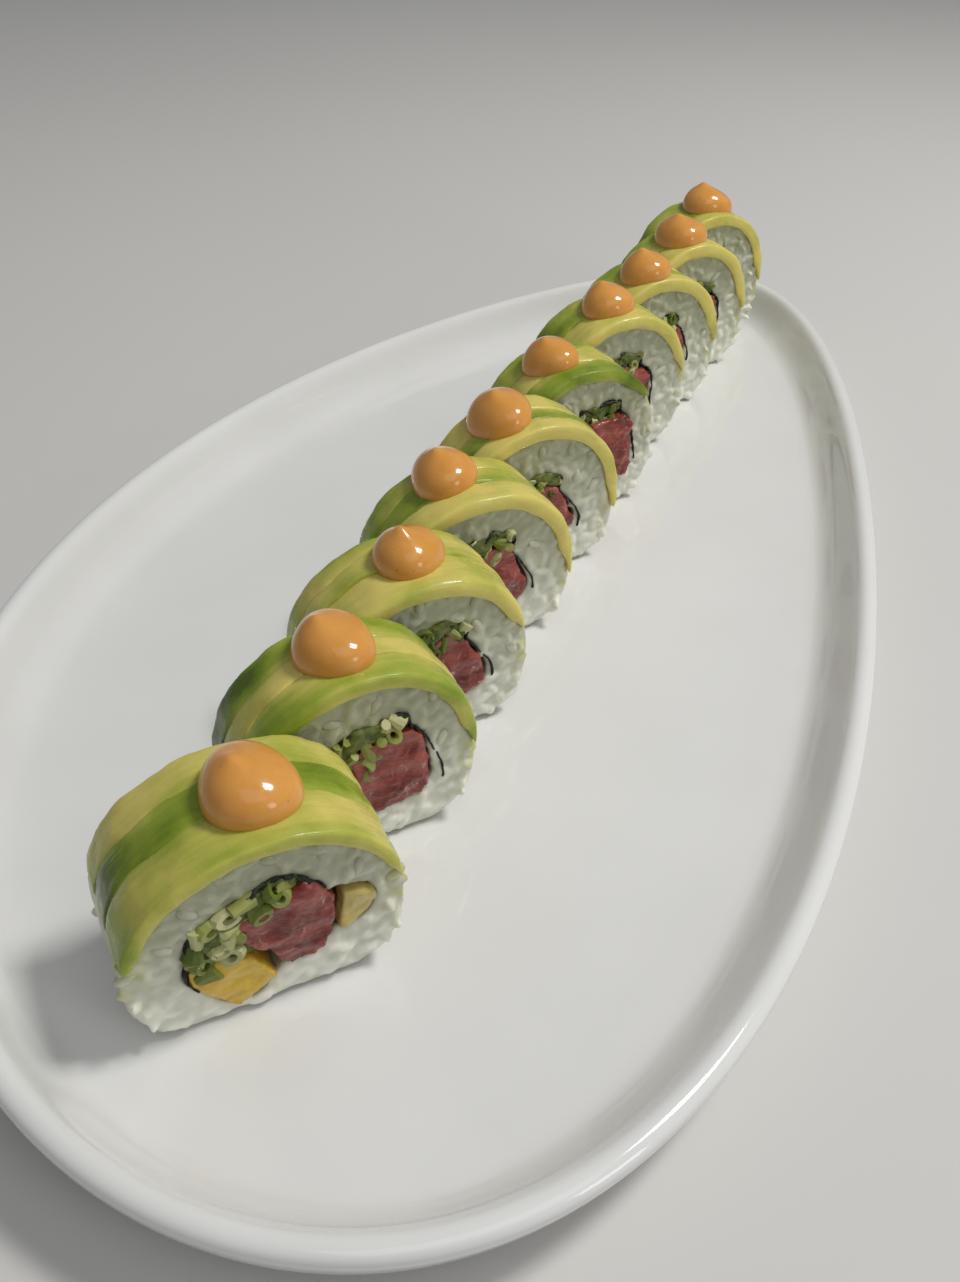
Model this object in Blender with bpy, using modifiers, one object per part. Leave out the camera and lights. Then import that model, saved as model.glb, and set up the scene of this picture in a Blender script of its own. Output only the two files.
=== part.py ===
"""Ten slices of uramaki roll in a slanting row on an egg-shaped porcelain plate.

Each slice is a ring of rice round its filling, with ripe avocado laid over it
and a dollop of sauce on top. Metres, +Z up, +Y along the plate to its narrow
end, origin under the middle of the plate's box on the table.
"""
import math
import random
from collections import namedtuple

import bmesh
import bpy
from mathutils import Matrix, Vector

MM = 0.001
GAP = 0.35 * MM                 # clearance between pieces that touch

# Plate
PLATE_HALF_LENGTH = 188.5 * MM
PLATE_HALF_WIDTH = 95.0 * MM
PLATE_TAPER = -0.157            # narrower towards +Y
PLATE_LEAN = 10.0 * MM          # both tips lie off the middle line
PLATE_FULLNESS = 0.026
TIP_EXTRA = 7.0 * MM            # the narrow tip is drawn out a little
TIP_SHARPNESS = 10
PLATE_STEPS = 64
FOOT_RECESS = 1.2 * MM
FLOOR_Z = 4.5 * MM
TURNING_RADIUS = 95.0 * MM      # radius at which the wall profile is turned

# Rolls
AVOCADO = 2.9 * MM              # thickness of the cover
AVOCADO_STEP = 0.55 * MM        # where one slice laps over the next
ROUND_SEGMENTS = 32
GRAIN_BUMP = 0.55 * MM
SHOULDER = 0.42                 # height of the widest place, of the whole
ARCH_SQUARENESS = 2.15          # a superellipse's power; 2 is a true ellipse
BASE_SQUARENESS = 3.0
SAUCE_SIZE = 15.6 * MM
SAUCE_STEPS = 14

Roll = namedtuple("Roll", "x y turn width height length skew right left sauce_x sauce_y sauce")
# Places in mm from the middle of the plate, turn and cover ends in degrees.
ROLLS = [
    Roll(-6.1, -132.9, 47.0, 47.0, 37.0, 23.6, 0.05, 10, 169, 2.4, -0.6, 1.06),
    Roll(-4.6, -98.6, 47.5, 45.6, 40.0, 18.4, 0.02, 1, 180, -1.0, 0.8, 0.98),
    Roll(-6.3, -65.9, 46.5, 46.2, 38.4, 20.6, 0.03, 12, 186, 0.5, 0.3, 0.95),
    Roll(-6.7, -31.7, 46.5, 46.0, 38.6, 19.4, 0.00, -2, 187, -4.6, 2.4, 0.98),
    Roll(-4.2, -0.2, 47.5, 46.0, 40.5, 18.0, 0.02, -6, 190, -6.2, 0.8, 1.03),
    Roll(-2.8, 34.2, 48.0, 44.4, 41.0, 20.4, 0.00, 36, 184, -6.0, 0.8, 0.92),
    Roll(-2.0, 70.0, 47.0, 44.4, 41.8, 19.2, 0.03, 11, 189, -1.0, 0.4, 1.00),
    Roll(1.5, 103.2, 47.5, 44.0, 42.0, 18.8, 0.00, 4, 186, -2.8, -1.4, 1.01),
    Roll(4.7, 136.5, 46.5, 43.4, 42.4, 19.0, 0.02, 2, 188, -1.6, -0.2, 1.05),
    Roll(4.8, 167.4, 48.0, 44.2, 43.2, 19.2, 0.00, 2, 190, 1.4, 0.6, 1.06),
]

Block = namedtuple("Block", "x z width height turn")
# Fillings in mm in the roll's own section, and how far each stands out of the front face.
# The nearest roll's are torn to shapes of their own.
NEAREST = {
    "tuna": [(-6.4, 20.6), (0.2, 23.6), (6.6, 26.2), (11.4, 20.6), (10.2, 12.0), (6.6, 7.9), (2.8, 7.9),
             (-2.6, 15.2)],
    "greens": [(5.4, 27.4), (2.4, 27.9), (-2.2, 26.4), (-6.6, 24.2), (-11.2, 21.8), (-13.0, 18.6),
               (-12.8, 15.8), (-7.8, 15.6), (-7.4, 20.2), (-6.8, 21.3), (0.0, 24.5), (4.8, 26.4)],
    "mango": [(-13.4, 14.6), (-13.2, 11.2), (-9.8, 6.2), (-6.8, 2.4), (-3.8, 2.8), (0.6, 6.4), (-2.8, 12.6),
              (-7.6, 14.6)],
    "pale_mango": [(12.4, 19.7), (15.2, 19.8), (17.8, 18.2), (18.2, 16.0), (16.4, 13.6), (13.6, 12.2),
                   (11.4, 12.0)],
}
TUNA = [
    Block(5.2, 17.0, 15.0, 17.8, 6),
    Block(4.8, 16.4, 13.0, 17.4, 30),
    Block(3.6, 16.4, 12.2, 17.4, 22),
    Block(2.8, 15.4, 13.0, 17.0, 34),
    Block(6.0, 17.6, 16.6, 19.2, 4),
    Block(1.6, 17.6, 15.0, 19.0, -8),
    Block(2.6, 18.8, 13.0, 15.0, 10),
    Block(3.2, 18.4, 13.2, 15.4, -6),
    Block(2.4, 19.0, 12.8, 15.0, 14),
]
STAND_OUT = [0.6, 0.3, 0.2, 0.2, 0.3, 2.0, 0.2, 0.2, 0.2, 0.2]
GREENS_THICK = 3.4 * MM
GREENS_CLEAR = 0.6 * MM
HOLE_CLEAR = 0.7 * MM
FLOOR_RICE = 1.4 * MM           # the rice under the filling is at least this thick
HOLE_SIDES = 16


def material(name, colour, roughness):
    found = bpy.data.materials.get(name) or bpy.data.materials.new(name)
    found.use_nodes = True
    shader = found.node_tree.nodes["Principled BSDF"]
    shader.inputs["Base Color"].default_value = (*colour, 1.0)
    shader.inputs["Roughness"].default_value = roughness
    return found


def add_object(name, mesh, collection, finish=None):
    obj = bpy.data.objects.new(name, mesh)
    collection.objects.link(obj)
    if finish:
        mesh.materials.append(finish)
    return obj


def evaluated_mesh(obj, name):
    """The object's mesh with its modifiers in effect; the object itself is removed."""
    bpy.context.view_layer.update()
    depsgraph = bpy.context.evaluated_depsgraph_get()
    mesh = bpy.data.meshes.new_from_object(obj.evaluated_get(depsgraph))
    mesh.name = name
    bpy.data.objects.remove(obj)
    return mesh


def turned(name, profile, steps, collection):
    """A profile of (radius, height) points, top to bottom, turned about Z."""
    line = bpy.data.meshes.new(name)
    edges = [(i, i + 1) for i in range(len(profile) - 1)]
    line.from_pydata([(r, 0.0, z) for r, z in profile], edges, [])
    obj = add_object(name, line, collection)
    screw = obj.modifiers.new("Turn", "SCREW")
    screw.steps = steps
    screw.render_steps = steps
    screw.use_merge_vertices = True
    screw.merge_threshold = 0.01 * MM
    return evaluated_mesh(obj, name)


def lofted(name, loops, ring=False):
    """Closed loops of points joined in turn; the ends are closed, or meet if it is a ring."""
    bm = bmesh.new()
    rows = [[bm.verts.new(point) for point in loop] for loop in loops]
    count = len(loops[0])
    following_rows = rows[1:] + rows[:1] if ring else rows[1:]
    for row, following in zip(rows, following_rows):
        for i in range(count):
            j = (i + 1) % count
            bm.faces.new((row[i], row[j], following[j], following[i]))
    if not ring:
        bm.faces.new(rows[0])
        bm.faces.new(rows[-1])
    bmesh.ops.recalc_face_normals(bm, faces=bm.faces)
    bmesh.ops.triangulate(bm, faces=bm.faces)
    mesh = bpy.data.meshes.new(name)
    bm.to_mesh(mesh)
    bm.free()
    return mesh


def boolean(obj, cutter):
    """Cuts the cutter out of the object, and keeps the cutter as a guide only."""
    cut = obj.modifiers.new("Cut", "BOOLEAN")
    cut.operation = "DIFFERENCE"
    cut.solver = "EXACT"
    cut.object = cutter
    cutter.hide_render = True
    cutter.display_type = "WIRE"


# Plate

def plate_edge(t):
    """Point of the plate's outer edge; t is 0 at the narrow tip."""
    x = PLATE_HALF_WIDTH * math.sin(t) * (1 + PLATE_TAPER * math.cos(t)) + PLATE_LEAN * math.cos(2 * t)
    y = PLATE_HALF_LENGTH * (math.cos(t) + PLATE_FULLNESS * math.cos(2 * t))
    tip = ((1 + math.cos(t)) / 2) ** TIP_SHARPNESS
    return Vector((x, y + TIP_EXTRA * tip, 0.0))


def plate_inward(t):
    step = 0.001
    along = plate_edge(t + step) - plate_edge(t - step)
    return Vector((-along.y, along.x, 0.0)).normalized() * -1


def plate_centre():
    """Middle of the edge's box, which is where the origin goes."""
    points = [plate_edge(math.tau * i / PLATE_STEPS) for i in range(PLATE_STEPS)]
    spread = [(min(p[k] for p in points), max(p[k] for p in points)) for k in (0, 1)]
    return Vector((sum(spread[0]) / 2, sum(spread[1]) / 2, 0.0))


def build_plate(collection):
    # How far in from the edge and how high, from the middle of the floor over the lip to the foot.
    wall = [(15.5, 0.0), (12.4, 0.7), (9.6, 2.7), (7.3, 6.2), (5.4, 10.2), (4.2, 11.6), (2.6, 12.0),
            (0.9, 11.5), (0.0, 9.9)]
    under = [(1.6, 9.4), (4.6, 4.6), (9.0, 1.4), (12.0, 0.0), (17.0, 0.0), (19.0, 1.2)]
    profile = [(0.0, FLOOR_Z)]
    profile += [(TURNING_RADIUS - inset * MM, FLOOR_Z + rise * MM) for inset, rise in wall]
    profile += [(TURNING_RADIUS - inset * MM, height * MM) for inset, height in under]
    profile += [(0.0, FOOT_RECESS)]
    mesh = turned("plate", profile, PLATE_STEPS, collection)
    centre = plate_centre()
    for vertex in mesh.vertices:
        radius = math.hypot(vertex.co.x, vertex.co.y)
        if radius < TURNING_RADIUS / 2:
            vertex.co.x, vertex.co.y = 0.0, 0.0
            continue
        t = math.pi / 2 - math.atan2(vertex.co.y, vertex.co.x)
        place = plate_edge(t) + plate_inward(t) * (TURNING_RADIUS - radius) - centre
        vertex.co.x, vertex.co.y = place.x, place.y
    mesh.shade_smooth()
    return add_object("plate", mesh, collection, material("porcelain", (0.86, 0.86, 0.84), 0.12))


# Rolls

def section(roll, angle, inset=0.0):
    """Point (x, z) of the roll's arched section in metres; angle 0 is the right side, 90 the top."""
    c, s = math.cos(math.radians(angle)), math.sin(math.radians(angle))
    half = roll.width * MM / 2 - inset
    middle = roll.height * MM * SHOULDER
    if s < 0:
        x = half * math.copysign(abs(c) ** (2 / BASE_SQUARENESS), c)
        return x, max(0.0, middle - 1.05 * middle * abs(s) ** (2 / BASE_SQUARENESS))
    x = half * math.copysign(abs(c) ** (2 / ARCH_SQUARENESS), c)
    rise = (roll.height * MM - middle - inset) * s ** (2 / ARCH_SQUARENESS)
    return x, middle + rise * (1 + roll.skew * x / half)


def cover_angles(roll):
    """The rice's own angles that lie between the two ends of the cover."""
    step = 360 / ROUND_SEGMENTS
    first = math.ceil(roll.right / step)
    last = math.floor(roll.left / step)
    return [step * i for i in range(first, last + 1)]


def build_rice(roll, name, hole, collection, rng):
    """A ring of rice with grains that stand out of its faces and of its bare lower sides."""
    covered = cover_angles(roll)
    half = roll.length * MM / 2
    edge = 0.7 * MM
    rims = []
    for i in range(ROUND_SEGMENTS):
        angle = 360 * i / ROUND_SEGMENTS
        bare = not covered[0] - 12 <= (angle - 360 if angle > 300 else angle) <= covered[-1] + 12
        rims.append((Vector(section(roll, angle, 0.9 * MM if bare else AVOCADO + GAP)), bare))
    # How far along the roll, and how far out from the hole to the rim.
    stations = [(-half, 0.0), (-half, 0.5), (-half, 0.9), (-half + edge, 1.0), (0.0, 1.0),
                (half - edge, 1.0), (half, 0.9), (half, 0.5), (half, 0.0)]
    loops = []
    for y, outward in stations:
        loop = []
        for rim, bare in rims:
            inner = hole.at(rim)
            bump = rng.uniform(-1, 1) * GRAIN_BUMP
            if outward == 1.0:
                x = rim.x + math.copysign(bump if bare else 0.0, rim.x)
                loop.append((x, y, rim.y))
                continue
            point = inner.lerp(rim, outward + (rng.uniform(-0.12, 0.12) if outward == 0.5 else 0.0))
            loop.append((point.x, y - math.copysign(abs(bump) * 1.6, y), max(0.0, point.y)))
        loops.append(loop)
    finish = material("rice", (0.78, 0.79, 0.74), 0.45)
    return add_object(name, lofted(name, loops, ring=True), collection, finish)


def cover_loops(roll, grow, depth):
    """Loops round the cover's thickness, one for each angle, from the right end to the left."""
    half = roll.length * MM / 2
    laps = (-half * 0.30, half * 0.38)
    ramp = 0.5 * MM
    rows = [(-half + 0.15 * MM, 0.1), (laps[0] - ramp, -0.3), (laps[0] + ramp, 0.6), (laps[1] - ramp, 0.0),
            (laps[1] + ramp, 0.9), (half - 0.15 * MM, 0.3)]
    loops = []
    covered = cover_angles(roll)
    for i, angle in enumerate(covered):
        ends = min(i, len(covered) - 1 - i)
        thin = {0: 0.45, 1: 0.85}.get(ends, 1.0)
        loop = []
        for y, lap in rows:
            thick = AVOCADO * thin + AVOCADO_STEP * lap * thin
            x, z = section(roll, angle, AVOCADO - thick - grow)
            loop.append((x, y, z))
        for y in (rows[-1][0], rows[0][0]):
            x, z = section(roll, angle, AVOCADO + depth)
            loop.append((x, y, z))
        loops.append(loop)
    return loops


def build_sauce(roll, name, collection, rng):
    size = SAUCE_SIZE * roll.sauce
    profile = [(0.0, 0.50), (0.07, 0.46), (0.22, 0.38), (0.39, 0.26), (0.49, 0.10), (0.50, -0.04),
               (0.45, -0.26), (0.0, -0.26)]
    mesh = turned(name, [(r * size, z * size) for r, z in profile], SAUCE_STEPS, collection)
    lean = Vector((rng.uniform(-0.16, -0.06), rng.uniform(-0.02, 0.10)))
    for vertex in mesh.vertices:
        height = max(0.0, vertex.co.z / (0.5 * size))
        vertex.co.x += lean.x * size * height ** 3
        vertex.co.y += lean.y * size * height ** 3
    angle = 90.0
    while section(roll, angle)[0] > roll.sauce_x * MM:
        angle += 0.5
    while section(roll, angle)[0] < roll.sauce_x * MM:
        angle -= 0.5
    x, z = section(roll, angle)
    before, after = section(roll, angle + 4), section(roll, angle - 4)
    slope = math.atan2(before[1] - after[1], after[0] - before[0])
    seat = Matrix.Translation((x, roll.sauce_y * MM, z + 0.1 * size))
    mesh.transform(seat @ Matrix.Rotation(slope * 0.9, 4, "Y"))
    mesh.shade_smooth()
    obj = add_object(name, mesh, collection, material("sauce", (0.80, 0.37, 0.14), 0.25))
    cutter_name = "seat_" + name
    cutter = add_object(cutter_name, lofted(cutter_name, cover_loops(roll, GAP, 9 * MM)), CUTTERS)
    boolean(obj, cutter)
    return obj, cutter


# Fillings

def block_outline(block, rng):
    """A hand-cut block with eight uneven corners, as (x, z) points in metres."""
    points = []
    turn = Matrix.Rotation(math.radians(block.turn), 2)
    for i in range(8):
        angle = math.tau * (i + 0.5) / 8
        c, s = math.cos(angle), math.sin(angle)
        reach = 1.0 + rng.uniform(-0.05, 0.05)
        corner = Vector((block.width / 2 * math.copysign(abs(c) ** 0.45, c),
                         block.height / 2 * math.copysign(abs(s) ** 0.45, s))) * reach
        place = turn @ corner
        points.append(((block.x + place.x) * MM, (block.z + place.y) * MM))
    return points


def build_filling(name, outline, roll, front, collection, finish, rng, domed=True):
    """A piece that runs through the roll, its front domed where it is a solid block."""
    half = roll.length * MM / 2
    middle = sum((Vector(p) for p in outline), Vector((0.0, 0.0))) / len(outline)
    loops = []
    for y, size in ((-half - front, 0.55), (-half - front * 0.8, 0.97), (half * 0.98, 0.97)):
        if not domed:
            size = 1.0
        loop = []
        for x, z in outline:
            point = middle + (Vector((x, z)) - middle) * size
            loop.append((point.x, y + rng.uniform(-0.3, 0.3) * MM, point.y))
        loops.append(loop)
    if not domed:
        del loops[1]
    return add_object(name, lofted(name, loops), collection, finish)


def reach_of(points, middle, angle):
    """How far the points stretch from the middle in one direction."""
    way = Vector((math.cos(angle), math.sin(angle)))
    return max((Vector(p) - middle).dot(way) for p in points)


def greens_outline(tuna):
    """A band of cut greens that lies over the upper left of the tuna."""
    middle = sum((Vector(p) for p in tuna), Vector((0.0, 0.0))) / len(tuna)
    inner, outer = [], []
    for i in range(6):
        angle = math.radians(72 + 24 * i)
        near = reach_of(tuna, middle, angle) + GREENS_CLEAR
        thick = GREENS_THICK * (0.55 + 0.45 * math.sin(math.pi * (i + 0.5) / 6))
        for points, radius in ((inner, near), (outer, near + thick)):
            points.append((middle.x + radius * math.cos(angle), middle.y + radius * math.sin(angle)))
    return inner + outer[::-1]


class Hole:
    """The space that the rice leaves: it closes round the fillings with a small clearance."""

    def __init__(self, outlines):
        points = [Vector(p) for outline in outlines for p in outline]
        self.middle = sum(points, Vector((0.0, 0.0))) / len(points)
        self.sides = []
        for i in range(HOLE_SIDES):
            angle = math.tau * i / HOLE_SIDES
            self.sides.append((angle, reach_of(points, self.middle, angle) + HOLE_CLEAR))

    def at(self, rim):
        """The hole's edge in the direction of a point on the roll's rim."""
        way = (rim - self.middle).normalized()
        facing = math.atan2(way.y, way.x)
        ahead = [(angle, far) for angle, far in self.sides if math.cos(facing - angle) > 0.05]
        radius = min(far / math.cos(facing - angle) for angle, far in ahead)
        point = self.middle + way * radius
        return Vector((point.x, max(point.y, FLOOR_RICE)))


def build_roll(index, roll, collection, centre):
    rng = random.Random(40 + index)
    number = "%02d" % (index + 1)
    if index == 0:
        fillings = {kind: [(x * MM, z * MM) for x, z in corners] for kind, corners in NEAREST.items()}
    else:
        tuna = block_outline(TUNA[index - 1], rng)
        fillings = {"tuna": tuna, "greens": greens_outline(tuna)}
    finishes = {"tuna": material("tuna", (0.42, 0.07, 0.09), 0.35),
                "greens": material("greens", (0.16, 0.25, 0.05), 0.5),
                "mango": material("mango", (0.80, 0.48, 0.05), 0.35),
                "pale_mango": material("pale_mango", (0.75, 0.66, 0.30), 0.4)}
    pieces = []
    for kind, outline in fillings.items():
        front = STAND_OUT[index] * MM if kind == "tuna" else 0.1 * MM
        name = kind + "_" + number
        domed = kind != "greens"
        pieces.append(build_filling(name, outline, roll, front, collection, finishes[kind], rng, domed))
    pieces.append(build_rice(roll, "rice_" + number, Hole(fillings.values()), collection, rng))
    name = "avocado_" + number
    mesh = lofted(name, cover_loops(roll, 0.0, 0.0))
    pieces.append(add_object(name, mesh, collection, material("avocado", (0.52, 0.56, 0.12), 0.35)))
    pieces += build_sauce(roll, "sauce_" + number, collection, rng)
    place = bpy.data.objects.new("place_" + number, None)
    collection.objects.link(place)
    place.location = (roll.x * MM - centre.x, roll.y * MM - centre.y, FLOOR_Z + GAP)
    place.rotation_euler = (0.0, 0.0, math.radians(roll.turn))
    for piece in pieces:
        piece.parent = place


for old in list(bpy.data.objects):
    bpy.data.objects.remove(old)
PLATTER = bpy.data.collections.new("uramaki_platter")
CUTTERS = bpy.data.collections.new("cutters")
for group in (PLATTER, CUTTERS):
    bpy.context.scene.collection.children.link(group)
build_plate(PLATTER)
for number, item in enumerate(ROLLS):
    build_roll(number, item, PLATTER, plate_centre())
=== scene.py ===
"""Looks for a plate of uramaki slices under avocado and sauce.

Sizes are in millimetres and become metres as each mesh is made. A slice is
modelled in its own frame, x across it, y away from its front cut and z up,
and is then turned and set down in its place on the plate.
"""
import math
import random
from collections import namedtuple

import bpy
import numpy as np
from mathutils import Matrix


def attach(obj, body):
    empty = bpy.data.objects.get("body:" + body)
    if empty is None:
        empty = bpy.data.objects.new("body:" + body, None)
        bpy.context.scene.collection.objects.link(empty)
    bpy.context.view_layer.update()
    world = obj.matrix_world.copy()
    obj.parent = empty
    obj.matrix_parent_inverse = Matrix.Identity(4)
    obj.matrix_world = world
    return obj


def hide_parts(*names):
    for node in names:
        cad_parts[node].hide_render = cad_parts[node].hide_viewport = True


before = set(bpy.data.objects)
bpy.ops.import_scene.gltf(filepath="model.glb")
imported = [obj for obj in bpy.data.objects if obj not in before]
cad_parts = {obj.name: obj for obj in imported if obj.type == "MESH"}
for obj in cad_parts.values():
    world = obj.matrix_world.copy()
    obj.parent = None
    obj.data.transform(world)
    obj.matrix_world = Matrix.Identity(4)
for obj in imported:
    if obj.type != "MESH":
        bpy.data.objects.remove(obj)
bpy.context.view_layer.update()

MM = 0.001

# Slices, as they are laid on the plate
PLATE_MIDDLE = (-9.508, 8.401)      # the slices' places are measured from here
REST_Z = 4.85                       # height of the plate's floor under them
COVER = 2.9                         # thickness of the avocado
SHOULDER = 0.42                     # height of the widest place, as a share of the whole
ARCH_SQUARENESS = 2.15
BASE_SQUARENESS = 3.0
SAUCE_SIZE = 15.6
DOME = 0.36                         # height of a dollop, as a share of its width
FOOT = 0.26                         # and how deep it reaches at its edge
PEAK_WIDTH = 0.13

# Place of each slice, its turn and size, how its arch leans, the degrees at which its avocado ends, and the
# place and relative size of its sauce
Roll = namedtuple("Roll", "x y turn width height length skew right left sauce_x sauce_y sauce")
ROLLS = [
    Roll(-6.1, -132.9, 47.0, 47.0, 37.0, 23.6, 0.05, 10, 169, 2.4, -0.6, 1.06),
    Roll(-4.6, -98.6, 47.5, 45.6, 40.0, 18.4, 0.02, 1, 180, -1.0, 0.8, 0.98),
    Roll(-6.3, -65.9, 46.5, 46.2, 38.4, 20.6, 0.03, 12, 186, 0.5, 0.3, 0.95),
    Roll(-6.7, -31.7, 46.5, 46.0, 38.6, 19.4, 0.00, -2, 187, -4.6, 2.4, 0.98),
    Roll(-4.2, -0.2, 47.5, 46.0, 40.5, 18.0, 0.02, -6, 190, -6.2, 0.8, 1.03),
    Roll(-2.8, 34.2, 48.0, 44.4, 41.0, 20.4, 0.00, 36, 184, -6.0, 0.8, 0.92),
    Roll(-2.0, 70.0, 47.0, 44.4, 41.8, 19.2, 0.03, 11, 189, -1.0, 0.4, 1.00),
    Roll(1.5, 103.2, 47.5, 44.0, 42.0, 18.8, 0.00, 4, 186, -2.8, -1.4, 1.01),
    Roll(4.7, 136.5, 46.5, 43.4, 42.4, 19.0, 0.02, 2, 188, -1.6, -0.2, 1.05),
    Roll(4.8, 167.4, 48.0, 44.2, 43.2, 19.2, 0.00, 2, 190, 1.4, 0.6, 1.06),
]

# Avocado strips of each slice, front strip first: where a strip starts and ends along the slice (0 the front
# cut, 1 the back), and how green it is at its front edge, middle and back edge (0 flesh, 1 skin)
Strip = namedtuple("Strip", "front back skin_front skin_middle skin_back")
STRIPS = [
    [Strip(0.00, 0.44, 0.46, 0.18, 0.54), Strip(0.38, 0.76, 0.72, 0.86, 0.52),
     Strip(0.68, 1.00, 0.36, 0.14, 0.24)],
    [Strip(0.00, 0.40, 0.66, 0.50, 0.20), Strip(0.34, 0.70, 0.16, 0.12, 0.40),
     Strip(0.62, 1.00, 0.48, 0.78, 0.62)],
    [Strip(0.00, 0.52, 0.24, 0.06, 0.26), Strip(0.46, 0.80, 0.44, 0.24, 0.16),
     Strip(0.74, 1.00, 0.16, 0.30, 0.44)],
    [Strip(0.00, 0.40, 0.10, 0.06, 0.20), Strip(0.34, 0.72, 0.66, 0.48, 0.30),
     Strip(0.66, 1.00, 0.30, 0.22, 0.44)],
    [Strip(0.00, 0.28, 0.12, 0.08, 0.16), Strip(0.22, 0.60, 0.82, 0.62, 0.26),
     Strip(0.54, 1.00, 0.20, 0.14, 0.30)],
    [Strip(0.00, 0.36, 0.84, 0.74, 0.44), Strip(0.30, 0.68, 0.18, 0.12, 0.24),
     Strip(0.62, 1.00, 0.36, 0.46, 0.56)],
    [Strip(0.00, 0.50, 0.26, 0.12, 0.16), Strip(0.46, 0.76, 0.40, 0.56, 0.40),
     Strip(0.70, 1.00, 0.46, 0.52, 0.56)],
    [Strip(0.00, 0.34, 0.16, 0.10, 0.16), Strip(0.28, 0.66, 0.66, 0.50, 0.30),
     Strip(0.60, 1.00, 0.24, 0.40, 0.60)],
    [Strip(0.00, 0.44, 0.14, 0.08, 0.16), Strip(0.38, 0.72, 0.36, 0.24, 0.24),
     Strip(0.66, 1.00, 0.30, 0.50, 0.60)],
    [Strip(0.00, 0.30, 0.20, 0.14, 0.30), Strip(0.24, 0.70, 0.56, 0.60, 0.50),
     Strip(0.64, 1.00, 0.50, 0.56, 0.60)],
]
LAP = 0.22                          # how far a strip's front edge lies over the one before it
GAPING = 3                          # the slice with a seam that stands open
GAPING_LAP = 0.8
CORNERS = 5.0                       # squareness of a strip's section
CROWDING = 0.6                      # how far its mesh is drawn towards its edges
OVERHANG = 0.6                      # how far the front strip stands out of the cut
RIMS = [0.4, 0.8, 1.2, 1.4, 1.3, 0.8, 1.4, 1.8, 1.8, 1.5]    # how much thicker it is there, slice by slice
THINNING = 16                       # degrees over which the avocado thins out towards its right end
THINNING_NEAREST = 34               # and in the nearest slice

# Rice
GRAIN = (5.2, 2.5, 2.2)             # length, width and thickness
GRAIN_SPREAD = 0.16
CANDIDATES = 4000                   # random places from which the grains take theirs
PACKED = 2.2                        # distance between the grains pressed into the cut
PACKED_MOST = 900
PACKED_SINK = 1.18
PACKED_CLEAR = 0.9                  # from the hole
LOOSE = 6.5                         # distance between those that stand out of it
LOOSE_MOST = 40
LOOSE_SINK = 1.02
LOOSE_CLEAR = 2.5
CUT_RIM = 1.4                       # how far the grains stay inside the cut's rim
UNDER_AVOCADO = 0.9                 # how far the rice reaches into the avocado's solid
STICKY = 0.44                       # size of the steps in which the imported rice's surface is made

# Dark sheet round the filling
SHEET = 0.34
HOLE_CLEAR = 0.15                   # between the fillings and the sheet
HOLE_STEPS = 72
SHEET_START = -35                   # degrees at which it starts, on the right
SHEET_START_NEAREST = 32            # and in the nearest slice
SHEET_END = 210
FLARE = 1.5                         # how far its right end stands off the filling
FLARES = {1: 0.0, 2: 2.6}           # the same, in the two nearest slices

# Fillings
BLOCK_STICKY = 0.42                 # size of the steps in which a block's surface is made
BIT_GAP = 2.0                       # distance between chopped bits
BIT_MOST = 18
BIT_CANDIDATES = 600
BIT_SIZE = 1.1
BIT_SIZES = {1: 1.45, 2: 1.2}       # the near slices' greens are cut coarser
STRAY_BITS = [(-10.8, 15.4), (-10.4, 12.8), (-6.2, 15.0), (-8.4, 16.6), (-4.6, 16.2)]    # over the mango

# Starts of the random draws, to which a slice's number is added
RICE_SEED = 100
SEAWEED_SEED = 300
AVOCADO_SEED = 500
SAUCE_SEED = 700
SPOTS_SEED = 800
BITS_SEED = 900

# Shine of a finish that doesn't set its own
SPECULAR = 0.32

# Camera, by the photograph's view of the plate
CAMERA_AT = (77.3, -243.1, 165.5)
CAMERA_HEADING = (-0.3272, 0.9450)
CAMERA_PITCH = 37.7
CAMERA_ROLL = 2.0
FOCAL_PIXELS = 1129.0
PICTURE_HEIGHT = 1282.0
SENSOR = 24.0                       # its height, as the picture is taller than wide


# Modelling

def activate(obj):
    bpy.ops.object.select_all(action="DESELECT")
    obj.select_set(True)
    bpy.context.view_layer.objects.active = obj


def points_of(obj):
    """The mesh's points in millimetres."""
    points = np.empty(len(obj.data.vertices) * 3)
    obj.data.vertices.foreach_get("co", points)
    return points.reshape(-1, 3) / MM


def move_points(obj, points):
    obj.data.vertices.foreach_set("co", (np.asarray(points) * MM).ravel())
    obj.data.update()


def applied(obj, kind, **settings):
    activate(obj)
    modifier = obj.modifiers.new(kind.title(), kind)
    for key, value in settings.items():
        setattr(modifier, key, value)
    bpy.ops.object.modifier_apply(modifier=modifier.name)


def subdivided(obj, levels):
    applied(obj, "SUBSURF", levels=levels, render_levels=levels)


def smooth(obj):
    activate(obj)
    bpy.ops.object.shade_smooth()


def named(obj, name):
    obj.name = name
    obj.data.name = name
    return obj


def face_outwards(obj):
    activate(obj)
    bpy.ops.object.mode_set(mode="EDIT")
    bpy.ops.mesh.select_all(action="SELECT")
    bpy.ops.mesh.normals_make_consistent(inside=False)
    bpy.ops.object.mode_set(mode="OBJECT")


def solid_copy(node, name):
    """A copy of a solid's mesh with its loose triangles merged and paired into quads."""
    obj = bpy.data.objects.new(name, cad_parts[node].data.copy())
    obj.data.name = name
    obj.data.materials.clear()
    bpy.context.scene.collection.objects.link(obj)
    activate(obj)
    bpy.ops.object.mode_set(mode="EDIT")
    bpy.ops.mesh.select_all(action="SELECT")
    bpy.ops.mesh.remove_doubles(threshold=0.002 * MM)
    bpy.ops.mesh.tris_convert_to_quads(face_threshold=1.0, shape_threshold=3.0)
    bpy.ops.object.mode_set(mode="OBJECT")
    face_outwards(obj)
    return obj


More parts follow.
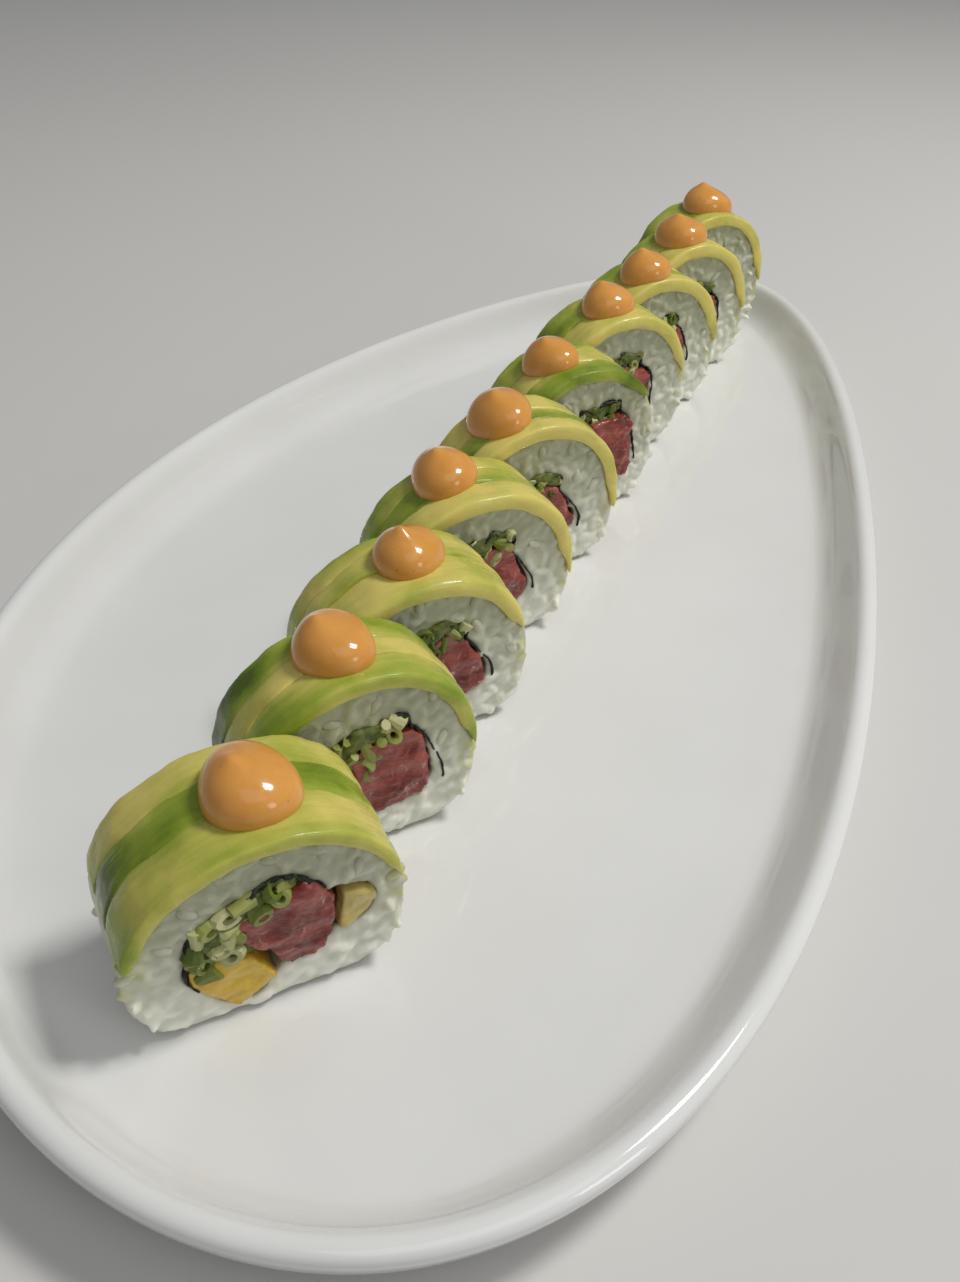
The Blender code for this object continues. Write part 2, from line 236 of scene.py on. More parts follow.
def clouds(name, size):
    texture = bpy.data.textures.new(name, "CLOUDS")
    texture.noise_scale = size * MM
    texture.noise_depth = 2
    return texture


def uneven(obj, texture, height):
    applied(obj, "DISPLACE", texture=texture, texture_coords="LOCAL", strength=height * MM, mid_level=0.5)


def store(obj, name, values):
    """A number for each point of the mesh, which its material reads."""
    attribute = obj.data.attributes.new(name, "FLOAT", "POINT")
    attribute.data.foreach_set("value", np.asarray(values, dtype=np.float32).ravel())


def store_place(obj, name, points):
    """A place for each point of the mesh, in millimetres in the slice's own frame."""
    attribute = obj.data.attributes.new(name, "FLOAT_VECTOR", "POINT")
    attribute.data.foreach_set("vector", np.asarray(points, dtype=np.float32).ravel())


def placed(obj, stands_for, finish):
    """Gives a finished piece its material, attaches it to the root and hides the part that it stands for, if
    any.
    """
    obj.data.materials.clear()
    obj.data.materials.append(finish)
    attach(obj, "root")
    if stands_for:
        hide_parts(stands_for)


# The slices' shape

def turn_of(roll):
    a = math.radians(roll.turn)
    return np.array([[math.cos(a), -math.sin(a), 0.0], [math.sin(a), math.cos(a), 0.0], [0.0, 0.0, 1.0]])


def seat_of(roll):
    return np.array([roll.x - PLATE_MIDDLE[0], roll.y - PLATE_MIDDLE[1], REST_Z])


def to_plate(roll, points):
    """From the slice's own frame to its place on the plate."""
    return np.asarray(points) @ turn_of(roll).T + seat_of(roll)


def to_slice(roll, points):
    return (np.asarray(points) - seat_of(roll)) @ turn_of(roll)


def section(roll, degrees, inset=0.0):
    """Points (x, z) of the arched section; 0 degrees is its right side and 90 its top."""
    a = np.radians(degrees)
    c, s = np.cos(a), np.sin(a)
    half = roll.width / 2 - inset
    middle = roll.height * SHOULDER
    x = half * np.sign(c) * np.abs(c) ** (2 / np.where(s < 0, BASE_SQUARENESS, ARCH_SQUARENESS))
    low = np.maximum(0.0, middle - 1.05 * middle * np.abs(s) ** (2 / BASE_SQUARENESS))
    rise = (roll.height - middle - inset) * np.abs(s) ** (2 / ARCH_SQUARENESS) * (1 + roll.skew * x / half)
    return x, np.where(s < 0, low, middle + rise)


def top_of(roll, x):
    """Height of the arch over places across the slice."""
    angles = np.linspace(2, 178, 177)
    across, up = section(roll, angles)
    return np.interp(x, across[::-1], up[::-1])


def ripple(values, period, rng):
    """A smooth wave from -1 to 1 with a random start."""
    start = rng.uniform(0, math.tau)
    second = rng.uniform(0, math.tau)
    long = np.sin(values / period * math.tau + start)
    short = np.sin(values / period * 2.7 * math.tau + second)
    return 0.6 * long + 0.4 * short


# Rice

def grain_shapes():
    """A few grains of cooked rice, each a ball drawn out, bent and blunted at one end."""
    shapes = []
    for bend, blunt in ((0.10, 0.25), (-0.05, 0.12), (0.16, 0.35), (0.02, 0.0)):
        bpy.ops.object.select_all(action="DESELECT")
        bpy.ops.mesh.primitive_uv_sphere_add(segments=8, ring_count=6, radius=0.5,
                                             rotation=(0, math.pi / 2, 0))
        bpy.ops.object.transform_apply(location=False, rotation=True, scale=False)
        obj = bpy.context.object
        p = points_of(obj) * MM
        x, y, z = p.T
        slim = 1 - blunt * x
        bent = y * GRAIN[1] * slim + bend * GRAIN[0] * (x * x - 0.1)
        p = np.stack([x * GRAIN[0], bent, z * GRAIN[2] * slim], 1)
        faces = [list(face.vertices) for face in obj.data.polygons]
        bpy.data.objects.remove(obj)
        shapes.append((p, faces))
    return shapes


GRAINS = grain_shapes()


def spaced(points, distance, room):
    """Indices of points taken in turn that keep their distance from each other."""
    kept = np.empty((room, points.shape[1]))
    chosen = []
    for i, point in enumerate(points):
        count = len(chosen)
        if count and ((kept[:count] - point) ** 2).sum(1).min() < distance * distance:
            continue
        kept[count] = point
        chosen.append(i)
        if len(chosen) == room:
            break
    return chosen


def surface_spots(points, triangles, count, rng):
    """Random places on a mesh, spread evenly by area, with the surface's direction there."""
    a, b, c = (points[triangles[:, k]] for k in range(3))
    cross = np.cross(b - a, c - a)
    area = np.linalg.norm(cross, axis=1)
    pick = rng.choice(len(triangles), count, p=area / area.sum())
    u, v = rng.random((2, count))
    over = u + v > 1
    u[over], v[over] = 1 - u[over], 1 - v[over]
    spots = a[pick] + (b - a)[pick] * u[:, None] + (c - a)[pick] * v[:, None]
    return spots, cross[pick] / area[pick][:, None]


def bare_side(roll, spots, ways):
    """Which places on the rice lie on its sides below the avocado."""
    side = (spots[:, 0] * ways[:, 0] > 0) & (np.abs(ways[:, 0]) > 0.4)
    side &= np.abs(spots[:, 0]) > roll.width * 0.36
    ends = np.where(spots[:, 0] > 0, section(roll, roll.right)[1], section(roll, roll.left)[1])
    return side & (spots[:, 2] < ends + 0.8) & (spots[:, 2] > 0.6)


def within(outline, points):
    """Which points lie inside a closed outline."""
    a, b = outline, np.roll(outline, -1, axis=0)
    x, y = points[:, 0, None], points[:, 1, None]
    crosses = (a[:, 1] > y) != (b[:, 1] > y)
    rise = np.where(a[:, 1] == b[:, 1], 1.0, b[:, 1] - a[:, 1])
    return (crosses & (x < a[:, 0] + (y - a[:, 1]) / rise * (b[:, 0] - a[:, 0]))).sum(1) % 2 == 1


def distance_from(outline, points):
    a, b = outline, np.roll(outline, -1, axis=0)
    along = b - a
    share = ((points[:, None] - a) * along).sum(2) / (along ** 2).sum(1)
    near = a + along * np.clip(share, 0, 1)[..., None]
    return np.linalg.norm(points[:, None] - near, axis=2).min(1)


def cut_spots(roll, hole, count, rng):
    """Random places on a slice's cut, clear of its filling."""
    x = rng.uniform(-roll.width / 2, roll.width / 2, count)
    z = rng.uniform(0.9, roll.height, count)
    spots = np.stack([x, z], 1)
    rim = np.stack(rice_edge(roll, np.arange(0, 360, 3.0), CUT_RIM), 1)
    kept = within(rim, spots)
    kept &= ~within(hole, spots)
    kept &= distance_from(hole, spots) > PACKED_CLEAR
    return spots[kept]


def thinned(roll, degrees):
    """The avocado's share of its full thickness: it thins out towards its right end."""
    reach = THINNING_NEAREST if roll is ROLLS[0] else THINNING
    return 0.45 + 0.55 * np.clip((degrees - roll.right) / reach, 0, 1) ** 0.7


def rice_edge(roll, degrees, inset):
    """The rice's outline: under the avocado, and out to its own surface on the bare sides."""
    turned = np.where(degrees > 300, degrees - 360, degrees)
    under = np.clip(np.minimum(turned - roll.right, roll.left - turned) / 4, 0, 1)
    return section(roll, degrees, inset + (COVER * thinned(roll, turned) - UNDER_AVOCADO) * under)


def scattered(name, shapes, spots, ways, sinks, rng):
    """Joined copies of small shapes, laid flat along the surface with a random turn."""
    corners, faces, tones = [], [], []
    total = 0
    for spot, way, sink in zip(spots, ways, sinks):
        shape, shape_faces = shapes[rng.integers(len(shapes))]
        along = np.cross(way, rng.normal(size=3))
        along = along / np.linalg.norm(along) + way * rng.normal() * 0.16
        along /= np.linalg.norm(along)
        side = np.cross(way, along)
        side /= np.linalg.norm(side)
        axes = np.stack([along, side, np.cross(along, side)])
        size = 1 + rng.normal(size=3) * GRAIN_SPREAD * (0.8, 0.5, 0.5)
        p = (shape * size) @ axes + spot - way * sink
        p[:, 2] += max(0.0, 0.15 - p[:, 2].min())
        corners.append(p)
        faces += [[total + i for i in face] for face in shape_faces]
        tones.append(np.full(len(p), rng.random()))
        total += len(p)
    mesh = bpy.data.meshes.new(name)
    mesh.from_pydata(np.concatenate(corners) * MM, [], faces)
    obj = bpy.data.objects.new(name, mesh)
    bpy.context.scene.collection.objects.link(obj)
    store(obj, "tone", np.concatenate(tones))
    return obj


def rice_body(number, roll, hole):
    """The rice under the grains: a block of the slice's own section, a little smaller, round its hole."""
    bpy.ops.object.select_all(action="DESELECT")
    bpy.ops.mesh.primitive_cylinder_add(vertices=HOLE_STEPS, radius=1.0, depth=8.0)
    cutter = bpy.context.object
    p = points_of(cutter) * MM
    steps = np.round(np.arctan2(p[:, 1], p[:, 0]) / math.tau * HOLE_STEPS).astype(int) % HOLE_STEPS
    move_points(cutter, np.stack([hole[steps, 0], p[:, 2] * roll.length, np.maximum(hole[steps, 1], 1.2)], 1))
    bpy.ops.object.select_all(action="DESELECT")
    bpy.ops.mesh.primitive_cylinder_add(vertices=96, radius=1.0, depth=2.0)
    obj = named(bpy.context.object, "sticky_rice_%02d" % number)
    p = points_of(obj) * MM
    degrees = np.degrees(np.arctan2(p[:, 1], p[:, 0])) % 360
    x, z = rice_edge(roll, degrees, 0.5)
    y = p[:, 2] * (roll.length / 2 - 0.65)
    move_points(obj, np.stack([x, y, np.maximum(z, 0.5)], 1))
    face_outwards(cutter)
    face_outwards(obj)
    applied(obj, "BOOLEAN", object=cutter, operation="DIFFERENCE", solver="EXACT")
    bpy.data.objects.remove(cutter)
    return obj


def make_rice(number, roll, nodes, finish):
    """Grains pressed together into one sticky block, with a few looser grains on its cuts."""
    rng = np.random.default_rng(RICE_SEED + number)
    node = "rice_%02d" % number
    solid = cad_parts[node].data
    solid.calc_loop_triangles()
    own = to_slice(roll, np.array([v.co[:] for v in solid.vertices]) / MM)
    triangles = np.array([t.vertices[:] for t in solid.loop_triangles])
    spots, ways = surface_spots(own, triangles, CANDIDATES, rng)
    shown = bare_side(roll, spots, ways)
    spots, ways = [spots[shown]], [ways[shown]]
    hole = hole_edge(roll, nodes, np.arange(HOLE_STEPS) / HOLE_STEPS * math.tau, HOLE_CLEAR + SHEET / 2)
    for side in (-1.0, 1.0):
        flat = cut_spots(roll, hole, CANDIDATES, rng)
        spots.append(np.stack([flat[:, 0], np.full(len(flat), side * roll.length / 2), flat[:, 1]], 1))
        ways.append(np.tile([0.0, side, 0.0], (len(flat), 1)))
    spots, ways = np.concatenate(spots), np.concatenate(ways)
    packed = spaced(spots, PACKED, PACKED_MOST)
    body = rice_body(number, roll, hole)
    sinks = PACKED_SINK + rng.normal(size=len(packed)) * 0.15 + 0.06 * (np.abs(ways[packed][:, 1]) < 0.5)
    grains = scattered("packed", GRAINS, spots[packed], ways[packed], sinks, rng)
    activate(body)
    grains.select_set(True)
    bpy.ops.object.join()
    applied(body, "REMESH", mode="VOXEL", voxel_size=STICKY * MM)
    applied(body, "SMOOTH", factor=0.5, iterations=3)
    store_rice(body, roll)
    move_points(body, to_plate(roll, points_of(body)))
    uneven(body, LUMPS, 0.4)
    uneven(body, FINE, 0.16)
    smooth(body)
    placed(body, node, finish)

    clear = distance_from(hole, spots[:, [0, 2]]) > LOOSE_CLEAR
    on_cut = np.abs(spots[:, 1]) > roll.length * 0.49
    high = np.flatnonzero(clear & on_cut & (spots[:, 2] > roll.height * 0.45))
    order = rng.permutation(high)
    loose = order[spaced(spots[order], LOOSE, LOOSE_MOST)]
    sinks = LOOSE_SINK + rng.normal(size=len(loose)) * 0.08
    grains = scattered("rice_grains_%02d" % number, GRAINS, spots[loose], ways[loose], sinks, rng)
    store_rice(grains, roll)
    move_points(grains, to_plate(roll, points_of(grains)))
    smooth(grains)
    placed(grains, None, finish)


def store_rice(obj, roll):
    """What the rice's material reads: avocado smeared on it, and the hollows in the cut and the height, which
    set its painted shade.
    """
    p = points_of(obj)
    store(obj, "smear", smeared(roll, p))
    # Painted shade: how far a point lies within the cut, to darken the hollows between its grains
    store(obj, "hollow_shade", np.clip((roll.length / 2 - 0.2 - np.abs(p[:, 1])) / 0.6, 0, 1))
    # height on the rice, which sets the painted shade that darkens its top
    store(obj, "high", np.clip(p[:, 2] / roll.height, 0, 1))


def smeared(roll, points):
    """How much avocado is smeared on the rice: along its rim, near the ends of the cover."""
    rim = np.stack(section(roll, np.arange(-60, 240, 4.0)), 1)
    degrees = np.degrees(np.arctan2(points[:, 2] - roll.height * SHOULDER, points[:, 0]))
    degrees = np.where(degrees < -90, degrees + 360, degrees)
    near = np.clip(1 - distance_from(rim, points[:, [0, 2]]) / 5.5, 0, 1)
    right = np.clip(1.3 - np.abs(degrees - roll.right) / 26, 0, 1)
    left = np.clip(1.3 - np.abs(degrees - roll.left) / 18, 0, 1)
    return near * np.maximum(right, left)


# Fillings

def outline_of(roll, node):
    """Corners (x, z) of a filling's section, as its solid has them at the back."""
    points = np.array([v.co[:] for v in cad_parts[node].data.vertices]) / MM
    own = to_slice(roll, points)
    back = np.unique(np.round(own[own[:, 1] > 0][:, [0, 2]], 3), axis=0)
    middle = back.mean(0)
    return back[np.argsort(np.arctan2(back[:, 1] - middle[1], back[:, 0] - middle[0]))]


def hole_edge(roll, nodes, angles, outward):
    """The space round the fillings: its edge in each direction from its middle."""
    outlines = [outline_of(roll, node) for node in nodes]
    middle = np.concatenate(outlines).mean(0)
    steps = np.arange(HOLE_STEPS) / HOLE_STEPS * math.tau
    facing = np.stack([np.cos(steps), np.sin(steps)], 1)
    radius = np.zeros(HOLE_STEPS)
    for outline in outlines:
        for start, end in zip(outline - middle, np.roll(outline, -1, axis=0) - middle):
            side = end - start
            across = facing[:, 0] * side[1] - facing[:, 1] * side[0]
            across = np.where(np.abs(across) < 1e-6, 1e-6, across)
            far = (start[0] * side[1] - start[1] * side[0]) / across
            share = (start[0] * facing[:, 1] - start[1] * facing[:, 0]) / across
            radius = np.where((share >= 0) & (share <= 1) & (far > radius), far, radius)
    radius = np.maximum.reduce([np.roll(radius, k) for k in (-1, 0, 1)])
    radius = sum(np.roll(radius, k) for k in (-1, 0, 1)) / 3 + outward
    closed = np.arange(HOLE_STEPS + 1) / HOLE_STEPS * math.tau
    radius = np.interp(angles, closed, np.append(radius, radius[0]), period=math.tau)
    edge = middle + np.stack([np.cos(angles), np.sin(angles)], 1) * radius[:, None]
    return np.stack([edge[:, 0], np.maximum(edge[:, 1], 1.4)], 1)


def make_seaweed(number, roll, nodes, finish):
    """A thin dark sheet over the filling, its cut edge frayed and out of sight in places."""
    rng = random.Random(SEAWEED_SEED + number)
    bpy.ops.object.select_all(action="DESELECT")
    bpy.ops.mesh.primitive_grid_add(x_subdivisions=110, y_subdivisions=8, size=1.0)
    obj = named(bpy.context.object, "seaweed_%02d" % number)
    p = points_of(obj) * MM
    u, v = p[:, 0] + 0.5, p[:, 1] + 0.5
    first = SHEET_START_NEAREST if number == 1 else SHEET_START
    angles = np.radians(first + (SHEET_END - first) * u)
    edge = hole_edge(roll, nodes, angles, HOLE_CLEAR)
    flare = FLARES.get(number, FLARE) * np.clip((math.radians(12) - angles) / math.radians(45), 0, 1)
    outward = np.stack([np.cos(angles), np.sin(angles)], 1)
    edge = edge + outward * (flare + 0.2 * ripple(angles, 0.5, rng))[:, None]
    half = roll.length / 2
    fray = 0.05 + 0.4 * ripple(angles, 0.8, rng) + 0.3 * ripple(angles, 0.17, rng)
    fray = np.where(flare > 0, 0.4 * fray - 0.1, fray)
    y = np.where(v < 0.02, -half + fray, np.where(v > 0.98, half - fray, (v - 0.5) * (roll.length - 3)))
    move_points(obj, to_plate(roll, np.stack([edge[:, 0], y, np.maximum(edge[:, 1], 1.6)], 1)))
    applied(obj, "SOLIDIFY", thickness=SHEET * MM, offset=0.0)
    smooth(obj)
    placed(obj, None, finish)


def make_block(number, roll, kind, finish, relief):
    """A cut block of filling: its solid, rounded a little and with a torn, wet surface."""
    node = "%s_%02d" % (kind, number)
    obj = solid_copy(node, "%s_cut_%02d" % (kind, number))
    applied(obj, "REMESH", mode="VOXEL", voxel_size=BLOCK_STICKY * MM)
    applied(obj, "SMOOTH", factor=0.5, iterations=3)
    uneven(obj, TORN, relief * 1.6)
    uneven(obj, LUMPS, relief)
    uneven(obj, FINE, relief * 0.4)
    smooth(obj)
    store_place(obj, "own", to_slice(roll, points_of(obj)))
    placed(obj, node, finish)


def bit_shapes():
    """Chopped greens: a ring of scallion, and a scrap of leaf and a piece of stem in two sizes each."""
    shapes = []
    for kind in ("ring", "leaf", "stem"):
        bpy.ops.object.select_all(action="DESELECT")
        if kind == "ring":
            bpy.ops.mesh.primitive_torus_add(major_segments=12, minor_segments=6,
                                             major_radius=0.85, minor_radius=0.5)
        elif kind == "leaf":
            bpy.ops.mesh.primitive_cylinder_add(vertices=10, radius=1.0, depth=0.3)
        else:
            bpy.ops.mesh.primitive_cylinder_add(vertices=8, radius=1.0, depth=3.0)
        obj = bpy.context.object
        p = points_of(obj) * MM
        if kind == "ring":
            p *= [1.25, 0.9, 1.7]
        elif kind == "leaf":
            p = np.stack([p[:, 0] * 1.9, p[:, 1] * 0.9, p[:, 2] + 0.35 * p[:, 0] ** 2 - 0.2], 1)
        else:
            p = np.stack([p[:, 2] * 0.85, p[:, 0] * (1 + 0.2 * p[:, 2]), p[:, 1] * 0.8], 1)
        faces = [list(face.vertices) for face in obj.data.polygons]
        if kind != "ring":
            shapes.append((p * 1.1, faces))
        shapes.append((p, faces))
        bpy.data.objects.remove(obj)
    return shapes


def make_bits(number, roll, spots, finish):
    """Chopped greens that stand out of both cuts."""
    rng = np.random.default_rng(BITS_SEED + number)
    count = len(spots)
    sides = np.repeat([-1.0, 1.0], count)
    places = np.stack([np.tile(spots[:, 0], 2), sides * roll.length / 2, np.tile(spots[:, 1], 2)], 1)
    ways = np.stack([rng.normal(size=2 * count) * 0.35, sides, rng.normal(size=2 * count) * 0.35], 1)
    ways /= np.linalg.norm(ways, axis=1)[:, None]
    shapes = [(shape * BIT_SIZES.get(number, BIT_SIZE), faces) for shape, faces in BITS]
    sinks = rng.uniform(0.1, 0.5, 2 * count)
    bits = scattered("greens_bits_%02d" % number, shapes, places, ways, sinks, rng)
    move_points(bits, to_plate(roll, points_of(bits)))
    placed(bits, None, finish)


def bit_spots(roll, outline, number):
    """Places for the chopped greens: all over the section of their solid."""
    rng = np.random.default_rng(SPOTS_SEED + number)
    low, high = outline.min(0), outline.max(0)
    spots = low + rng.random((BIT_CANDIDATES, 2)) * (high - low)
    spots = spots[within(outline, spots)]
    return spots[spaced(spots, BIT_GAP, BIT_MOST)]


# Avocado

def crowded(share):
    """Moves evenly spaced shares from 0 to 1 towards both ends, where an edge needs them."""
    return share - CROWDING * np.sin(math.tau * share) / math.tau


def rounded_section(turn):
    """Places round a strip's section: across it and into its depth, both from 0 to 1."""
    side = np.minimum(np.floor(turn * 4), 3).astype(int)
    along = crowded(turn * 4 - side) * 2 - 1
    edge = np.ones(len(along))
    across = np.choose(side, [along, edge, -along, -edge])
    into = np.choose(side, [-edge, along, edge, -along])
    shrink = (np.abs(across) ** CORNERS + np.abs(into) ** CORNERS) ** (-1 / CORNERS)
    return 0.5 + 0.5 * across * shrink, 0.5 + 0.5 * into * shrink


def make_strip(number, index, roll, strip, last, rng):
    """One strip of avocado bent over the rice: a grid rolled up round its rounded section."""
    bpy.ops.object.select_all(action="DESELECT")
    bpy.ops.mesh.primitive_grid_add(x_subdivisions=48, y_subdivisions=20, size=1.0)
    obj = named(bpy.context.object, "avocado_strip_%02d_%d" % (number, index))
    p = points_of(obj) * MM
    u = crowded(0.5 - p[:, 0])
    v, depth = rounded_section(p[:, 1] + 0.5)
    half = roll.length / 2
    ends = rng.uniform(-1.5, 2.5), rng.uniform(-1.5, 2.5)
    ragged = 1.5 * ripple(v + index, 0.7, rng)
    right = roll.right - ends[0] + ragged
    left = roll.left + ends[1] - ragged
    degrees = right + (left - right) * u
    front, back = (-half + roll.length * share for share in (strip.front, strip.back))
    y = front + (back - front) * v
    inner_front, inner_back = strip.front > 0, not last
    wavy_front = 0.8 * ripple(degrees, 70, rng) * (1 - v) * inner_front
    wavy_back = 0.6 * ripple(degrees, 80, rng) * v * inner_back
    y += wavy_front + wavy_back
    y += 0.12 * ripple(degrees, 40, rng) - OVERHANG * (not inner_front) * (1 - v) ** 3
    taper = 0.30 + 0.70 * np.clip(np.minimum(u, 1 - u) / 0.07, 0, 1) ** 0.6
    thick = COVER * (1 + 0.05 * ripple(degrees, 90, rng) + 0.04 * ripple(y, 2.2, rng))
    if inner_front:
        thick += (GAPING_LAP if number == GAPING and index == 1 else LAP) * np.exp(-v / 0.35)
    if inner_back:
        thick -= 0.22 * np.exp((v - 1) / 0.12)
    rim = (not inner_front) * RIMS[number - 1] * np.exp(-v / 0.2)
    deep = (thick + rim) * taper * thinned(roll, degrees)
    outer = COVER - thick + 1.1 * (1 - taper)
    at_end = (u < 0.001) | (u > 0.999)
    x, z = section(roll, degrees, outer + deep * np.where(at_end, 0.5, depth))
    skin = np.interp(v, [0, 0.5, 1], [strip.skin_front, strip.skin_middle, strip.skin_back])
    skin = skin * np.interp(degrees, [30, 110], [0.75, 1.0]) + 0.10 * ripple(degrees, 120, rng)
    # Darker green towards the left end of every strip: partly greener skin, partly painted shade on the side
    # turned away from the key light
    skin += 0.32 * np.clip((degrees - 122) / 50, 0, 1)
    move_points(obj, np.stack([x, y, z], 1))
    store(obj, "skin", skin - 0.3 * depth)
    store_place(obj, "own", np.stack([degrees * 0.4, y, depth * 3], 1))
    applied(obj, "WELD", merge_threshold=0.02 * MM)
    subdivided(obj, 1)
    return obj


def make_avocado(number, roll, finish):
    rng = random.Random(AVOCADO_SEED + number)
    table = STRIPS[number - 1]
    strips = [make_strip(number, k, roll, strip, strip is table[-1], rng) for k, strip in enumerate(table)]
    activate(strips[0])
    for other in strips[1:]:
        other.select_set(True)
    bpy.ops.object.join()
    obj = named(bpy.context.object, "avocado_slices_%02d" % number)
    face_outwards(obj)
    move_points(obj, to_plate(roll, points_of(obj)))
    uneven(obj, SOFT, 0.7)
    uneven(obj, FINE, 0.14)
    smooth(obj)
    placed(obj, "avocado_%02d" % number, finish)


# Sauce

def make_dollop(number, roll, finish):
    rng = random.Random(SAUCE_SEED + number)
    size = SAUCE_SIZE * roll.sauce
    bpy.ops.object.select_all(action="DESELECT")
    bpy.ops.mesh.primitive_uv_sphere_add(segments=32, ring_count=22, radius=0.5)
    obj = named(bpy.context.object, "dollop_%02d" % number)
    p = points_of(obj) * MM
    up = p[:, 2] * 2
    around = np.arctan2(p[:, 1], p[:, 0])
    spread = np.hypot(p[:, 0], p[:, 1])
    oval = 0.05 * np.sin(2 * around + rng.uniform(0, 6))
    lobes = 0.03 * np.sin(3 * around + rng.uniform(0, 6))
    spread = spread * (1 + oval + lobes)
    high = np.clip(up, 0, 1)
    peak = rng.uniform(0.08, 0.12) * np.exp(-(spread / PEAK_WIDTH) ** 1.35) * (up > 0)
    z = np.where(up > 0, DOME * high ** 0.85 + peak, up * FOOT)
    lean = high ** 4
    x = spread * np.cos(around) - (0.13 + 0.04 * rng.uniform(-1, 1)) * lean
    y = spread * np.sin(around) + (0.05 + 0.05 * rng.uniform(-1, 1)) * lean
    x, y, z = x * size + roll.sauce_x, y * size + roll.sauce_y, z * size
    ground = top_of(roll, x)
    z = z + ground * 0.8 + top_of(roll, roll.sauce_x) * 0.2 + 0.4
    move_points(obj, to_plate(roll, np.stack([x, y, z], 1)))
    subdivided(obj, 1)
    smooth(obj)
    placed(obj, "sauce_%02d" % number, finish)


# Finishes

class Finish:
    """A material built up step by step round its Principled shader."""

    def __init__(self, name, roughness, **sockets):
        self.material = bpy.data.materials.new(name)
        self.material.use_nodes = True
        self.tree = self.material.node_tree
        self.shader = self.tree.nodes["Principled BSDF"]
        self.shader.inputs["Roughness"].default_value = roughness
        self.shader.inputs["Specular IOR Level"].default_value = SPECULAR
        for socket, value in sockets.items():
            self.shader.inputs[socket.replace("_", " ")].default_value = value
        self.place = self.tree.nodes.new("ShaderNodeTexCoord").outputs["Object"]

    def node(self, kind, **settings):
        made = self.tree.nodes.new("ShaderNode" + kind)
        for key, value in settings.items():
            setattr(made, key, value)
        return made

    def link(self, source, target):
        self.tree.links.new(source, target)

    def attribute(self, name, output="Fac"):
        return self.node("Attribute", attribute_name=name).outputs[output]

    def noise(self, scale, detail=3.0, place=None, stretch=None):
        made = self.node("TexNoise")
        made.inputs["Scale"].default_value = scale
        made.inputs["Detail"].default_value = detail
        place = place or self.place
        if stretch:
            mapping = self.node("Mapping")
            mapping.inputs["Scale"].default_value = stretch
            self.link(place, mapping.inputs["Vector"])
            place = mapping.outputs["Vector"]
        self.link(place, made.inputs["Vector"])
        return made.outputs["Fac"]

    def ramp(self, factor, *stops):
        made = self.node("ValToRGB")
        elements = made.color_ramp.elements
        while len(elements) < len(stops):
            elements.new(0.5)
        for element, (position, colour) in zip(elements, stops):
            element.position = position
            element.color = (*colour, 1.0)
        self.link(factor, made.inputs["Fac"])
        return made.outputs["Color"]

    def math(self, operation, a, b, clamp=False):
        made = self.node("Math", operation=operation, use_clamp=clamp)
        for socket, value in zip(made.inputs, (a, b)):
            if isinstance(value, (int, float)):
                socket.default_value = value
            else:
                self.link(value, socket)
        return made.outputs["Value"]

    def mix(self, factor, a, b):
        made = self.node("Mix", data_type="RGBA")
        for socket, value in zip((made.inputs[0], made.inputs[6], made.inputs[7]), (factor, a, b)):
            if isinstance(value, (int, float)):
                socket.default_value = value
            elif isinstance(value, tuple):
                socket.default_value = (*value, 1.0)
            else:
                self.link(value, socket)
        return made.outputs[2]

    def bump(self, height, strength, distance):
        made = self.node("Bump")
        made.inputs["Strength"].default_value = strength
        made.inputs["Distance"].default_value = distance * MM
        self.link(height, made.inputs["Height"])
        self.link(made.outputs["Normal"], self.shader.inputs["Normal"])

    def colour(self, source):
        self.link(source, self.shader.inputs["Base Color"])

    def roughness(self, source):
        self.link(source, self.shader.inputs["Roughness"])


def glazed_porcelain():
    f = Finish("glazed_porcelain", 0.08, Coat_Weight=0.3, Coat_Roughness=0.03, Specular_IOR_Level=0.5)
    f.colour(f.ramp(f.noise(30, 2), (0.3, (0.79, 0.79, 0.775)), (0.7, (0.82, 0.82, 0.81))))
    f.roughness(f.ramp(f.noise(60, 4), (0.35, (0.06,) * 3), (0.75, (0.14,) * 3)))
    f.bump(f.noise(90, 2), 0.06, 0.4)
    return f.material


def rice_finish():
    f = Finish("cooked_rice", 0.30, Subsurface_Weight=0.35, Subsurface_Scale=0.0016, Coat_Weight=0.15,
               Coat_Roughness=0.15)
    f.shader.inputs["Subsurface Radius"].default_value = (1.0, 1.0, 0.8)
    rice = f.ramp(f.noise(350, 3), (0.25, (0.80, 0.80, 0.69)), (0.70, (0.92, 0.92, 0.82)))
    # Painted shade: the rice's colour turns darker and greener towards its top, where the avocado shades it
    near = f.math("ADD", f.attribute("high"), f.math("MULTIPLY", f.noise(200, 3), 0.4))
    rice = f.mix(f.ramp(near, (0.35, (0,) * 3), (0.95, (0.9,) * 3)), rice, (0.39, 0.40, 0.26))
    # Painted shade in the hollows between the grains of the cut
    rice = f.mix(f.math("MULTIPLY", f.attribute("hollow_shade"), 0.4), rice, (0.36, 0.37, 0.25))
    patchy = f.ramp(f.noise(420, 3), (0.42, (0,) * 3), (0.62, (1,) * 3))
    f.colour(f.mix(f.math("MULTIPLY", patchy, f.attribute("smear")), rice, (0.54, 0.53, 0.12)))
    f.bump(f.noise(2500, 2), 0.12, 0.2)
    return f.material


